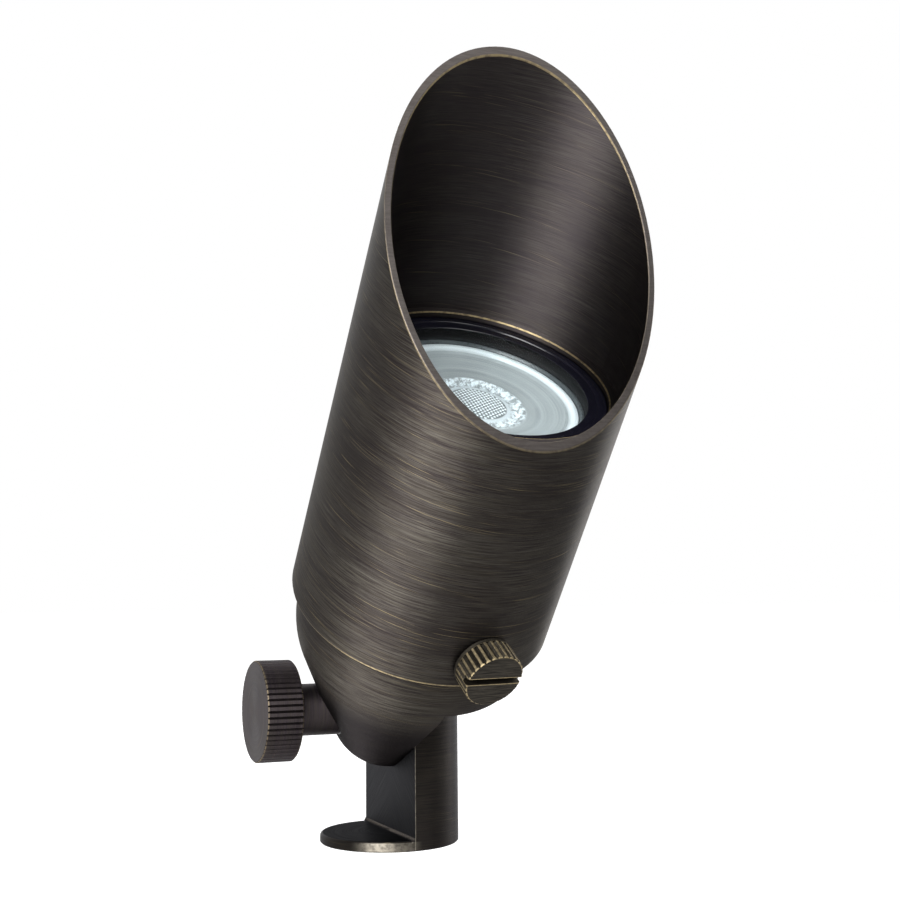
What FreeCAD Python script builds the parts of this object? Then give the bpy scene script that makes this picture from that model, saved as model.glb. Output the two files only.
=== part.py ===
import FreeCAD, Part
import math
import os
import re
import Sketcher

# Bullet spotlight with a slip-on angled shroud, tilting on a half-lap knuckle.
# Millimetres, +Z up. The origin is the centre of the round foot's underside.
# The knob points to -X and the lamp leans forward, to -Y.
# Pieces of the head are drawn upright on their own Z axis, measured from the knuckle
# pivot, and each is then leaned forward by head_tilt through its Placement.

SIZES = (
    # foot and its half column
    ("base_radius", 19.2, "foot and column"),
    ("flange_thick", 2.7, "round foot under the notch"),
    ("pivot_height", 36.7, "underside of the foot to the pivot axis"),
    ("face_gap", 0.1, "each lap face to the parting plane"),
    ("notch_fillet", 1.0, "lap face to foot"),
    ("edge_break", 0.4, "small chamfer on turned edges"),
    ("stem_radius", 4.5, "tapping bore of the M10x1 stem thread"),
    ("stem_depth", 12.0, "depth of that thread"),
    ("stem_offset", 9.4, "stem axis from the foot's axis"),
    ("wire_radius", 2.8, "wire passage"),
    # knuckle
    ("head_tilt", 38.5, "lean of the head from upright, degrees"),
    ("heel_radius", 16.5, "round end of the head's lug"),
    ("race_inner", 6.6, "ring-shaped wire race round the stud"),
    ("race_outer", 11.2, "outer radius of the race"),
    ("race_depth_foot", 12.0, "race in the column"),
    ("race_depth_lug", 8.6, "race in the lug"),
    ("seal_radius", 13.3, "centre line of the knuckle seal"),
    ("seal_wire", 0.9, "section radius of the knuckle seal"),
    ("groove_slack", 0.12, "clearance of a seal in its groove"),
    # knob with its stud
    ("stud_radius", 3.95, "M8 stud"),
    ("stud_length", 13.0, "stud in the column, from the pivot plane"),
    ("thread_slack", 0.05, "radial clearance in a thread"),
    ("drill_slack", 0.35, "radial clearance in a plain hole"),
    ("spot_radius", 8.0, "spot face on the lug"),
    ("spot_reach", 14.5, "spot face from the pivot plane"),
    ("washer_thick", 1.0, "spring washer under the knob"),
    ("shank_radius", 7.0, "plain shank of the knob"),
    ("knob_radius", 13.6, "over the ridges"),
    ("knob_rear", 28.9, "rear face of the knob from the pivot plane"),
    ("knob_front", 38.7, "front face of the knob from the pivot plane"),
    ("knob_ridges", 54, "straight ridges"),
    ("ridge_depth", 0.6, "groove between ridges"),
    ("ridge_gap", 0.7, "width of that groove"),
    ("knob_chamfer", 0.35, "edges of the knob"),
    # rear housing
    ("bowl_angle", 27.7, "half angle of the turned taper, degrees"),
    ("bowl_radius", 32.1, "housing below the shroud"),
    ("bowl_curve", 29.0, "round between taper and housing"),
    ("shoulder_height", 24.8, "underside of the bowl over the column"),
    ("tube_start", 42.0, "where the housing meets the shroud's bore"),
    ("tube_slack", 0.3, "housing tube to shroud bore"),
    ("housing_wall", 2.9, "housing below the shroud to its cavity"),
    ("cavity_floor", 31.0, "floor of the housing"),
    ("floor_radius", 21.0, "flat part of the floor"),
    ("cavity_start", 40.0, "where the cavity is at its full width"),
    ("ring_wire", 0.9, "section radius of the two housing seals"),
    ("ring_fit", 0.1, "housing seal to shroud bore"),
    ("rear_ring_height", 56.0, "rear housing seal"),
    ("front_ring_drop", 7.8, "front housing seal below the housing's rim"),
    # shroud
    ("shroud_step", 2.65, "outside of the shroud beyond the housing"),
    ("shroud_wall", 1.65, "its wall"),
    ("shroud_start", 37.8, "its lower edge"),
    ("cut_height", 142.1, "where the slanted cut crosses the axis"),
    ("cut_angle", 45.0, "slant of the mouth, degrees"),
    ("cut_turn", -3.5, "turn of the cut from the screw, degrees"),
    ("shroud_turn", 5.0, "turn of the screw from the front, degrees"),
    ("ledge_height", 108.3, "top of the inner ledge"),
    ("ledge_thick", 1.3, "thickness of the ledge"),
    ("ledge_depth", 2.4, "ledge from the bore inwards"),
    ("shroud_round", 1.1, "round on the lower edge"),
    ("rim_break", 0.2, "chamfer round the mouth"),
    # shroud screw
    ("screw_height", 46.3, "axis of the shroud screw"),
    ("screw_stud", 2.45, "M5 stud"),
    ("screw_tip_gap", 0.28, "tip to the housing tube"),
    ("screw_seat_gap", 0.15, "head to the shroud"),
    ("screw_radius", 7.7, "head over its ridges"),
    ("screw_length", 7.3, "height of the head"),
    ("collar_length", 1.3, "plain collar behind the ridges"),
    ("screw_ridges", 28, "straight ridges"),
    ("screw_gap", 1.25, "width of the groove between ridges"),
    ("screw_groove", 0.55, "its depth"),
    ("slot_width", 1.8, "coin slot"),
    ("slot_depth", 2.0, "its depth"),
    ("slot_angle", -3.4, "turn of the slot, degrees"),
    # lens pack
    ("seat_gap", 0.1, "faces that only touch when tightened"),
    ("glass_inset", 3.8, "edge of the lens to the shroud's bore"),
    ("glass_thick", 3.0, "lens"),
    ("glass_slack", 0.1, "lens in its gasket"),
    ("lip_thick", 1.0, "each lip of the gasket"),
    ("lip_depth", 1.8, "lips over the edge of the lens"),
    ("gasket_slack", 0.5, "gasket to shroud bore"),
    # reflector lamp
    ("lamp_gap", 0.2, "lower lip of the gasket to the lamp"),
    ("lamp_radius", 24.9, "rim of the lamp, 2 inch class"),
    ("rim_thick", 2.6, "its rim"),
    ("optic_depth", 1.6, "front optic below the rim's face"),
    ("optic_radius", 22.4, "inside of the rim"),
    ("dome_radius", 8.6, "central lens of the optic"),
    ("dome_rise", 1.9, "its crown"),
    ("lamp_length", 46.0, "lamp face to the bottom of its base"),
    ("shell_length", 31.0, "finned shell below the rim"),
    ("shell_radius", 23.6, "top of the shell"),
    ("shell_neck", 11.5, "bottom of the shell"),
    ("fin_count", 20, "slots between fins"),
    ("fin_gap", 2.2, "slot width"),
    ("fin_depth", 4.6, "slot depth"),
    ("board_radius", 12.0, "board under the optic"),
    ("board_thick", 1.6, "board under the optic"),
    ("emitter_radius", 4.2, "light source on the board"),
    ("emitter_rise", 0.9, "its height"),
    ("base_length", 18.0, "bi-pin base of the lamp"),
    ("base_width", 10.5, "bi-pin base of the lamp"),
    ("base_round", 2.5, "its upright edges"),
    ("pin_radius", 0.75, "lamp pins"),
    ("pin_pitch", 5.33, "lamp pins"),
    ("pin_length", 7.0, "lamp pins"),
    # socket and its bracket
    ("socket_length", 24.0, "lamp socket"),
    ("socket_width", 12.0, "lamp socket"),
    ("socket_height", 9.5, "lamp socket"),
    ("socket_round", 1.5, "its upright edges"),
    ("contact_radius", 1.5, "sleeve round each pin"),
    ("contact_slack", 0.08, "sleeve to pin and socket"),
    ("socket_pitch", 18.0, "two screws through the socket"),
    ("small_screw", 1.45, "M3 screws"),
    ("small_head", 2.7, "their heads"),
    ("small_head_rise", 1.9, "their heads"),
    ("bracket_thick", 1.2, "sheet of the bracket"),
    ("bracket_width", 13.0, "bracket"),
    ("bracket_span", 26.5, "outside of its legs"),
    ("bracket_foot", 6.4, "length of each foot"),
    ("bracket_hole", 4.6, "opening for the leads"),
    ("foot_screw_depth", 4.5, "floor screws"),
    # leads inside the head
    ("lead_radius", 0.8, "insulated lead"),
    ("lead_spacing", 1.0, "half the pitch of the leads in the passage"),
    ("lead_offset", 6.0, "wire passage from the head's axis"),
    ("lead_end", 12.0, "lower end of the leads"),
    ("bend_share", 0.25, "each bend's share of the height from floor to socket"),
    ("grommet_radius", 4.2, "grommet"),
    ("grommet_bore", 2.0, "grommet"),
    ("grommet_depth", 2.4, "grommet in the floor"),
    ("grommet_rise", 0.8, "grommet above the floor"),
)

doc = FreeCAD.newDocument("spotlight")
sheet = doc.addObject("Spreadsheet::Sheet", "dims")
for row, (alias, number, note) in enumerate(SIZES, 1):
    sheet.set(f"A{row}", note)
    sheet.set(f"B{row}", str(number))
    sheet.setAlias(f"B{row}", alias)
doc.recompute()
NAMES = {alias for alias, number, note in SIZES}


def bound(formula):
    """A formula in plain words, with its sizes pointing at the sheet."""
    return re.sub(r"[a-z_]+", lambda word: f"dims.{word[0]}" if word[0] in NAMES else word[0], formula)


def value(formula):
    return float(sheet.evalExpression(bound(formula)))


def origin_plane(body, role):
    return next(item for item in body.Origin.OriginFeatures if item.Role == role)


# derived levels of the head, along its axis from the pivot
SHROUD_RADIUS = "(bowl_radius + shroud_step)"
SHROUD_BORE = f"({SHROUD_RADIUS} - shroud_wall)"
CAVITY_RADIUS = "(bowl_radius - housing_wall)"
LEDGE_RADIUS = f"({SHROUD_BORE} - ledge_depth)"
GLASS_RADIUS = f"({SHROUD_BORE} - glass_inset)"
LIP_RADIUS = f"({GLASS_RADIUS} - lip_depth)"
TUBE_RADIUS = f"({SHROUD_BORE} - tube_slack)"
GASKET_TOP = "(ledge_height - ledge_thick - seat_gap)"
GLASS_TOP = f"({GASKET_TOP} - lip_thick)"
GLASS_BASE = f"({GLASS_TOP} - glass_thick)"
GASKET_BASE = f"({GLASS_BASE} - lip_thick)"
HOUSING_RIM = f"({GASKET_BASE} - seat_gap)"
FRONT_RING = f"({HOUSING_RIM} - front_ring_drop)"
LAMP_FACE = f"({GASKET_BASE} - lamp_gap)"
LAMP_BASE = f"({LAMP_FACE} - lamp_length)"
SHELL_TOP = f"({LAMP_FACE} - rim_thick)"
SHELL_BASE = f"({SHELL_TOP} - shell_length)"
SOCKET_BASE = f"({LAMP_BASE} - socket_height)"
BRACKET_BASE = f"({SOCKET_BASE} - bracket_thick)"
SHANK_SEAT = "(spot_reach + washer_thick + seat_gap)"
RACE_MIDDLE = "((race_inner + race_outer) / 2)"


# ---- helpers for sketches and features ----

def add_sketch(body, name, role, offset=None):
    sketch = body.newObject("Sketcher::SketchObject", name)
    sketch.AttachmentSupport = [(origin_plane(body, role), "")]
    sketch.MapMode = "FlatFace"
    if offset:
        sketch.setExpression("AttachmentOffset.Base.z", bound(offset))
    return sketch


def fix_point(sketch, geometry, vertex, across, up):
    for kind, axis, formula in (("DistanceX", -2, across), ("DistanceY", -1, up)):
        if formula == "0":
            sketch.addConstraint(Sketcher.Constraint("PointOnObject", geometry, vertex, axis))
            continue
        index = sketch.addConstraint(Sketcher.Constraint(kind, -1, 1, geometry, vertex, value(formula)))
        sketch.setExpression(f"Constraints[{index}]", bound(formula))


def arc_through(start, end, radius):
    """Arc from start to end, bulging to the right of the way when radius is positive."""
    chord = end - start
    middle = (start + end) * 0.5
    side = FreeCAD.Vector(chord.y, -chord.x, 0).normalize() * math.copysign(1, radius)
    rise = abs(radius) - math.sqrt(max(radius ** 2 - (chord.Length / 2) ** 2, 0))
    return Part.Arc(start, middle + side * rise, end)


def outline(body, name, role, corners, offset=None):
    """Closed outline. A corner is (across, up), with a radius where an arc leaves it."""
    sketch = add_sketch(body, name, role, offset)
    spots = [FreeCAD.Vector(value(corner[0]), value(corner[1]), 0) for corner in corners]
    for index, corner in enumerate(corners):
        start = spots[index]
        end = spots[(index + 1) % len(spots)]
        if len(corner) == 3:
            sketch.addGeometry(arc_through(start, end, value(corner[2])))
        else:
            sketch.addGeometry(Part.LineSegment(start, end))
    ends = {}
    for index, corner in enumerate(corners):
        # a sketch turns a clockwise arc round, so its first point may be its end
        arc = len(corner) == 3
        turned = arc and (sketch.getPoint(index, 1) - spots[index]).Length > 1e-6
        ends[index] = (2, 1) if turned else (1, 2)
    for index, corner in enumerate(corners):
        after = (index + 1) % len(corners)
        sketch.addConstraint(Sketcher.Constraint("Coincident", index, ends[index][1], after, ends[after][0]))
        fix_point(sketch, index, ends[index][0], corner[0], corner[1])
        if len(corner) < 3:
            continue
        if corner[1] == corners[after][1]:
            # a half circle over a level line is held by its centre's height
            number = sketch.addConstraint(
                Sketcher.Constraint("DistanceY", -1, 1, index, 3, value(corner[1])))
            sketch.setExpression(f"Constraints[{number}]", bound(corner[1]))
        else:
            number = sketch.addConstraint(Sketcher.Constraint("Radius", index, abs(value(corner[2]))))
            sketch.setExpression(f"Constraints[{number}]", bound(f"abs({corner[2]})"))
    return sketch


def circles(body, name, role, discs, offset=None):
    """Circles in one sketch, each (across, up, radius)."""
    sketch = add_sketch(body, name, role, offset)
    for index, (across, up, radius) in enumerate(discs):
        centre = FreeCAD.Vector(value(across), value(up), 0)
        sketch.addGeometry(Part.Circle(centre, FreeCAD.Vector(0, 0, 1), value(radius)))
        fix_point(sketch, index, 3, across, up)
        number = sketch.addConstraint(Sketcher.Constraint("Radius", index, value(radius)))
        sketch.setExpression(f"Constraints[{number}]", bound(radius))
    return sketch


def revolve(body, name, corners, kind="PartDesign::Revolution"):
    sketch = outline(body, name + "_outline", "XZ_Plane", corners)
    feature = body.newObject(kind, name)
    feature.Profile = sketch
    feature.ReferenceAxis = (sketch, ["V_Axis"])
    feature.Angle = 360
    sketch.Visibility = False
    return feature


def extrude(body, name, sketch, length, kind="PartDesign::Pad", reversed_way=False, both_ways=False):
    feature = body.newObject(kind, name)
    feature.Profile = sketch
    feature.setExpression("Length", bound(length))
    feature.Reversed = reversed_way
    feature.Midplane = both_ways
    return feature


def cut(body, name, sketch, length, **ways):
    """A pocket, which has to take material away."""
    doc.recompute()
    before = body.Shape.Volume
    feature = extrude(body, name, sketch, length, "PartDesign::Pocket", **ways)
    doc.recompute()
    if not body.Shape.Volume < before:
        raise RuntimeError(f"{body.Label}: {name} cuts nothing")
    return feature


def ring_pattern(body, name, feature, count):
    pattern = body.newObject("PartDesign::PolarPattern", name)
    pattern.Originals = [feature]
    pattern.Axis = (origin_plane(body, "Z_Axis"), [""])
    pattern.Angle = 360
    pattern.setExpression("Occurrences", bound(count))
    body.Tip = pattern
    return pattern


def dress(body, name, kind, size, picks):
    """Fillet or chamfer on the edges of the body that picks() accepts."""
    doc.recompute()
    base = body.Tip
    edges = [f"Edge{number}" for number, edge in enumerate(base.Shape.Edges, 1) if picks(edge)]
    if not edges:
        raise RuntimeError(f"{body.Label}: {name} finds no edge")
    feature = body.newObject(kind, name)
    feature.Base = (base, edges)
    feature.setExpression("Radius" if kind.endswith("Fillet") else "Size", bound(size))
    return feature


def circle_edge(edge, radius, height):
    """True for a round edge about Z of this radius at this height."""
    curve = edge.Curve
    if not isinstance(curve, Part.Circle):
        return False
    return abs(curve.Radius - value(radius)) < 1e-4 and abs(curve.Center.z - value(height)) < 1e-4


# ---- placements ----

def turned(axis, angle):
    return FreeCAD.Placement(FreeCAD.Vector(), FreeCAD.Rotation(FreeCAD.Vector(*axis), angle))


def moved(across, along, up):
    return FreeCAD.Placement(FreeCAD.Vector(across, along, up), FreeCAD.Rotation())


PIVOT = moved(0, 0, value("pivot_height"))
HEAD = PIVOT * turned((1, 0, 0), value("head_tilt"))
SHROUD = HEAD * turned((0, 0, 1), value("shroud_turn"))
KNOB = PIVOT * turned((0, 1, 0), -90)
FOOT = FreeCAD.Placement()
PARTS = []


def new_body(name, placement):
    body = doc.addObject("PartDesign::Body", name)
    body.Label = name
    body.Placement = placement
    PARTS.append(body)
    return body


def primitive(kind, name, sizes, place=()):
    """Part primitive with its sizes, and its place when given, tied to the sheet."""
    solid = doc.addObject(kind, name)
    for size, formula in sizes.items():
        solid.setExpression(size, bound(formula))
    for letter, formula in zip("xyz", place):
        solid.setExpression(f"Placement.Base.{letter}", bound(formula))
    return solid


def cylinder(name, radius, height, place=()):
    return primitive("Part::Cylinder", name, {"Radius": radius, "Height": height}, place)


def cone(name, low, high, height, place=()):
    return primitive("Part::Cone", name, {"Radius1": low, "Radius2": high, "Height": height}, place)


def torus(name, radius, section):
    return primitive("Part::Torus", name, {"Radius1": radius, "Radius2": section})


def fuse(name, *solids):
    result = doc.addObject("Part::MultiFuse", name)
    result.Shapes = list(solids)
    return result


def subtract(name, solid, tool):
    result = doc.addObject("Part::Cut", name)
    result.Base = solid
    result.Tool = tool
    return result


def finish_part(solid, name, placement):
    solid.Label = name
    solid.Placement = placement
    PARTS.append(solid)
    return solid


def group(name, solids, placement):
    """Like pieces that share one node as separate solids."""
    result = doc.addObject("Part::Compound", name)
    result.Links = solids
    return finish_part(result, name, placement)


# ---- foot: a round flange with a half column, its top rounded about the pivot ----

def make_base():
    body = new_body("base_knuckle", FOOT)
    top = "(pivot_height + base_radius)"
    extrude(body, "bar", circles(body, "bar_outline", "XY_Plane", [("0", "0", "base_radius")]), top)
    notch = outline(body, "notch_outline", "XZ_Plane", [
        ("-2 * base_radius", "flange_thick"),
        ("face_gap", "flange_thick"),
        ("face_gap", f"2 * {top}"),
        ("-2 * base_radius", f"2 * {top}"),
    ])
    cut(body, "notch", notch, "4 * base_radius", both_ways=True)
    crown = outline(body, "crown_outline", "YZ_Plane", [
        ("-base_radius", "pivot_height", "-base_radius"),
        ("base_radius", "pivot_height"),
        ("2 * base_radius", "pivot_height"),
        ("2 * base_radius", f"2 * {top}"),
        ("-2 * base_radius", f"2 * {top}"),
        ("-2 * base_radius", "pivot_height"),
    ])
    cut(body, "crown", crown, "4 * base_radius", both_ways=True)
    dress(body, "notch_corner", "PartDesign::Fillet", "notch_fillet", lambda edge:
          all(abs(v.X - value("face_gap")) < 1e-4 and abs(v.Z - value("flange_thick")) < 1e-4
              for v in edge.Vertexes))
    dress(body, "foot_edge", "PartDesign::Chamfer", "edge_break",
          lambda edge: circle_edge(edge, "base_radius", "0"))
    stem = circles(body, "stem_outline", "XY_Plane", [("stem_offset", "0", "stem_radius")])
    cut(body, "stem_thread", stem, "stem_depth", reversed_way=True)
    passage = circles(body, "passage_outline", "XY_Plane", [("stem_offset", "0", "wire_radius")])
    cut(body, "wire_passage", passage, f"pivot_height - {RACE_MIDDLE}", reversed_way=True)
    race = circles(body, "race_outline", "YZ_Plane", [
        ("0", "pivot_height", "race_outer"), ("0", "pivot_height", "race_inner")])
    cut(body, "wire_race", race, "race_depth_foot", reversed_way=True)
    stud = circles(body, "stud_outline", "YZ_Plane", [("0", "pivot_height", "stud_radius + thread_slack")])
    cut(body, "stud_thread", stud, "stud_length + 1", reversed_way=True)


# ---- knob: knurled head, plain shank and stud in one turned piece ----

def make_knob():
    body = new_body("knuckle_knob", KNOB)
    revolve(body, "turning", [
        ("0", "-stud_length"),
        ("stud_radius - edge_break", "-stud_length"),
        ("stud_radius", "edge_break - stud_length"),
        ("stud_radius", SHANK_SEAT),
        ("shank_radius", SHANK_SEAT),
        ("shank_radius", "knob_rear"),
        ("knob_radius - knob_chamfer", "knob_rear"),
        ("knob_radius", "knob_rear + knob_chamfer"),
        ("knob_radius", "knob_front - knob_chamfer"),
        ("knob_radius - knob_chamfer", "knob_front"),
        ("0", "knob_front"),
    ])
    groove = outline(body, "groove_outline", "XY_Plane", [
        ("knob_radius - ridge_depth", "0"),
        ("knob_radius + ridge_depth", "-ridge_gap"),
        ("knob_radius + ridge_depth", "ridge_gap"),
    ])
    first = cut(body, "groove", groove, "2 * knob_front", reversed_way=True)
    ring_pattern(body, "ridges", first, "knob_ridges")


def make_knuckle_trim():
    washer = subtract("washer_cut",
                      cylinder("washer_disc", "shank_radius", "washer_thick", ("0", "0", "spot_reach + seat_gap")),
                      cylinder("washer_bore", "stud_radius + drill_slack", "3 * washer_thick",
                               ("0", "0", "spot_reach + seat_gap - washer_thick")))
    finish_part(washer, "knuckle_washer", KNOB)
    seal = torus("knuckle_seal", "seal_radius", "seal_wire")
    lift = value("seal_wire + groove_slack")
    finish_part(seal, "knuckle_seal", HEAD * turned((0, 1, 0), -90) * moved(0, 0, lift))


# ---- rear housing: one turned bowl, cut away to a lug on the knob's side ----

TAPER_FOOT = ("heel_radius * cos(bowl_angle)", "-heel_radius * sin(bowl_angle)")
CURVE_LEVEL = "(((bowl_radius - bowl_curve) * cos(bowl_angle) + bowl_curve - heel_radius) / sin(bowl_angle))"
TAPER_TOP = ("bowl_radius - bowl_curve + bowl_curve * cos(bowl_angle)",
             f"{CURVE_LEVEL} - bowl_curve * sin(bowl_angle)")


def make_housing():
    body = new_body("rear_housing", HEAD)
    revolve(body, "turning", [
        ("0", "-heel_radius", "heel_radius"),
        TAPER_FOOT,
        TAPER_TOP + ("bowl_curve",),
        ("bowl_radius", CURVE_LEVEL),
        ("bowl_radius", "tube_start"),
        (TUBE_RADIUS, "tube_start + tube_slack"),
        (TUBE_RADIUS, f"{HOUSING_RIM} - edge_break"),
        (f"{TUBE_RADIUS} - edge_break", HOUSING_RIM),
        (CAVITY_RADIUS, HOUSING_RIM),
        (CAVITY_RADIUS, "cavity_start"),
        ("floor_radius", "cavity_floor"),
        ("0", "cavity_floor"),
    ])
    for name, level in (("rear_ring", "rear_ring_height"), ("front_ring", FRONT_RING)):
        floor = f"({SHROUD_BORE} - ring_fit - 2 * ring_wire - groove_slack)"
        half = "(ring_wire + groove_slack)"
        revolve(body, name, [
            (floor, f"{level} - {half}"),
            (SHROUD_RADIUS, f"{level} - {half}"),
            (SHROUD_RADIUS, f"{level} + {half}"),
            (floor, f"{level} + {half}"),
        ], "PartDesign::Groove")
    lap = outline(body, "lap_outline", "XZ_Plane", [
        ("-face_gap", "-2 * heel_radius"),
        ("2 * bowl_radius", "-2 * heel_radius"),
        ("2 * bowl_radius", "shoulder_height"),
        ("-face_gap", "shoulder_height"),
    ])
    cut(body, "lap", lap, "4 * bowl_radius", both_ways=True)
    spot = circles(body, "spot_outline", "YZ_Plane", [("0", "0", "spot_radius")], "-spot_reach")
    cut(body, "spot_face", spot, "2 * bowl_radius")
    hole = circles(body, "hole_outline", "YZ_Plane", [("0", "0", "stud_radius + drill_slack")])
    cut(body, "stud_hole", hole, "2 * bowl_radius")
    race = circles(body, "race_outline", "YZ_Plane", [("0", "0", "race_outer"), ("0", "0", "race_inner")])
    cut(body, "wire_race", race, "race_depth_lug")
    seat = circles(body, "seat_outline", "YZ_Plane", [
        ("0", "0", "seal_radius + seal_wire + groove_slack"),
        ("0", "0", "seal_radius - seal_wire - groove_slack")])
    cut(body, "seal_groove", seat, "2 * seal_wire + 2 * groove_slack")
    passage = circles(body, "passage_outline", "XY_Plane", [("-lead_offset", "0", "wire_radius")], RACE_MIDDLE)
    cut(body, "wire_passage", passage, "2 * cavity_floor", reversed_way=True)
    grommet = circles(body, "grommet_outline", "XY_Plane", [("-lead_offset", "0", "grommet_radius")], "cavity_floor")
    cut(body, "grommet_seat", grommet, "grommet_depth")
    screws = circles(body, "screw_outline", "XY_Plane", [
        (f"-{FOOT_SCREW}", "0", "small_screw + thread_slack"),
        (FOOT_SCREW, "0", "small_screw + thread_slack")], "cavity_floor")
    cut(body, "bracket_threads", screws, "foot_screw_depth")


FOOT_SCREW = "(bracket_span / 2 + bracket_foot / 2)"


def make_housing_seals():
    for name, level in (("housing_seal_rear", "rear_ring_height"), ("housing_seal_front", FRONT_RING)):
        ring = torus(name, f"{SHROUD_BORE} - ring_fit - ring_wire", "ring_wire")
        finish_part(ring, name, HEAD * moved(0, 0, value(level)))


# ---- shroud: thin tube with a slanted mouth and an inner ledge over the lens ----

def make_shroud():
    body = new_body("shroud", SHROUD)
    top = f"(cut_height + 2 * {SHROUD_RADIUS})"
    revolve(body, "turning", [
        (SHROUD_BORE, "shroud_start"),
        (SHROUD_RADIUS, "shroud_start"),
        (SHROUD_RADIUS, top),
        (SHROUD_BORE, top),
        (SHROUD_BORE, "ledge_height"),
        (LEDGE_RADIUS, "ledge_height"),
        (LEDGE_RADIUS, "ledge_height - ledge_thick"),
        (SHROUD_BORE, "ledge_height - ledge_thick"),
    ])
    dress(body, "lower_edge", "PartDesign::Fillet", "shroud_round",
          lambda edge: circle_edge(edge, SHROUD_RADIUS, "shroud_start"))
    dress(body, "ledge_edge", "PartDesign::Chamfer", "rim_break",
          lambda edge: circle_edge(edge, LEDGE_RADIUS, "ledge_height"))
    reach = f"(2 * {SHROUD_RADIUS})"
    slant = outline(body, "mouth_outline", "YZ_Plane", [
        (f"-{reach}", f"cut_height - {reach} * tan(cut_angle)"),
        (reach, f"cut_height + {reach} * tan(cut_angle)"),
        (reach, f"{top} + {reach} * tan(cut_angle)"),
        (f"-{reach}", f"{top} + {reach} * tan(cut_angle)"),
    ])
    slant.AttachmentOffset = turned((0, 1, 0), value("cut_turn"))
    cut(body, "mouth", slant, f"2 * {reach}", both_ways=True)
    dress(body, "mouth_edge", "PartDesign::Chamfer", "rim_break",
          lambda edge: isinstance(edge.Curve, Part.Ellipse))
    hole = circles(body, "screw_outline", "XZ_Plane", [("0", "screw_height", "screw_stud + thread_slack")])
    cut(body, "screw_thread", hole, reach, reversed_way=True)


def make_shroud_screw():
    body = new_body("shroud_screw", SHROUD * moved(0, 0, value("screw_height")) * turned((1, 0, 0), 90)
                    * turned((0, 0, 1), value("slot_angle")))
    seat = f"({SHROUD_RADIUS} + screw_seat_gap)"
    tip = f"({TUBE_RADIUS} + screw_tip_gap)"
    top = f"({seat} + screw_length)"
    root = "(screw_radius - screw_groove)"
    revolve(body, "turning", [
        ("0", tip),
        ("screw_stud", tip),
        ("screw_stud", seat),
        ("screw_radius - edge_break", seat),
        ("screw_radius", f"{seat} + edge_break"),
        ("screw_radius", f"{top} - edge_break"),
        ("screw_radius - edge_break", top),
        ("0", top),
    ])
    groove = outline(body, "groove_outline", "XY_Plane", [
        (root, "0"),
        ("screw_radius + screw_groove", "-screw_gap"),
        ("screw_radius + screw_groove", "screw_gap"),
    ], f"{seat} + collar_length")
    first = cut(body, "groove", groove, "2 * screw_length", reversed_way=True)
    ring_pattern(body, "ridges", first, "screw_ridges")
    slot = outline(body, "slot_outline", "YZ_Plane", [
        ("-slot_width / 2", f"{top} - slot_depth"),
        ("slot_width / 2", f"{top} - slot_depth"),
        ("slot_width / 2", f"2 * {top}"),
        ("-slot_width / 2", f"2 * {top}"),
    ])
    cut(body, "slot", slot, "4 * screw_radius", both_ways=True)


# ---- lens pack ----

def make_lens():
    glass = new_body("lens_glass", HEAD)
    revolve(glass, "disc", [
        ("0", GLASS_BASE),
        (f"{GLASS_RADIUS} - edge_break", GLASS_BASE),
        (GLASS_RADIUS, f"{GLASS_BASE} + edge_break"),
        (GLASS_RADIUS, f"{GLASS_TOP} - edge_break"),
        (f"{GLASS_RADIUS} - edge_break", GLASS_TOP),
        ("0", GLASS_TOP),
    ])
    gasket = new_body("lens_gasket", HEAD)
    outer = f"({SHROUD_BORE} - gasket_slack)"
    revolve(gasket, "moulding", [
        (LIP_RADIUS, GASKET_BASE),
        (outer, GASKET_BASE),
        (outer, GASKET_TOP),
        (f"{LIP_RADIUS} + lip_thick", GASKET_TOP),
        (LIP_RADIUS, f"{GASKET_TOP} - lip_thick / 2"),
        (LIP_RADIUS, GLASS_TOP),
        (f"{GLASS_RADIUS} + glass_slack", GLASS_TOP),
        (f"{GLASS_RADIUS} + glass_slack", GLASS_BASE),
        (LIP_RADIUS, GLASS_BASE),
    ])


# ---- reflector lamp with a bi-pin base ----

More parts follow.
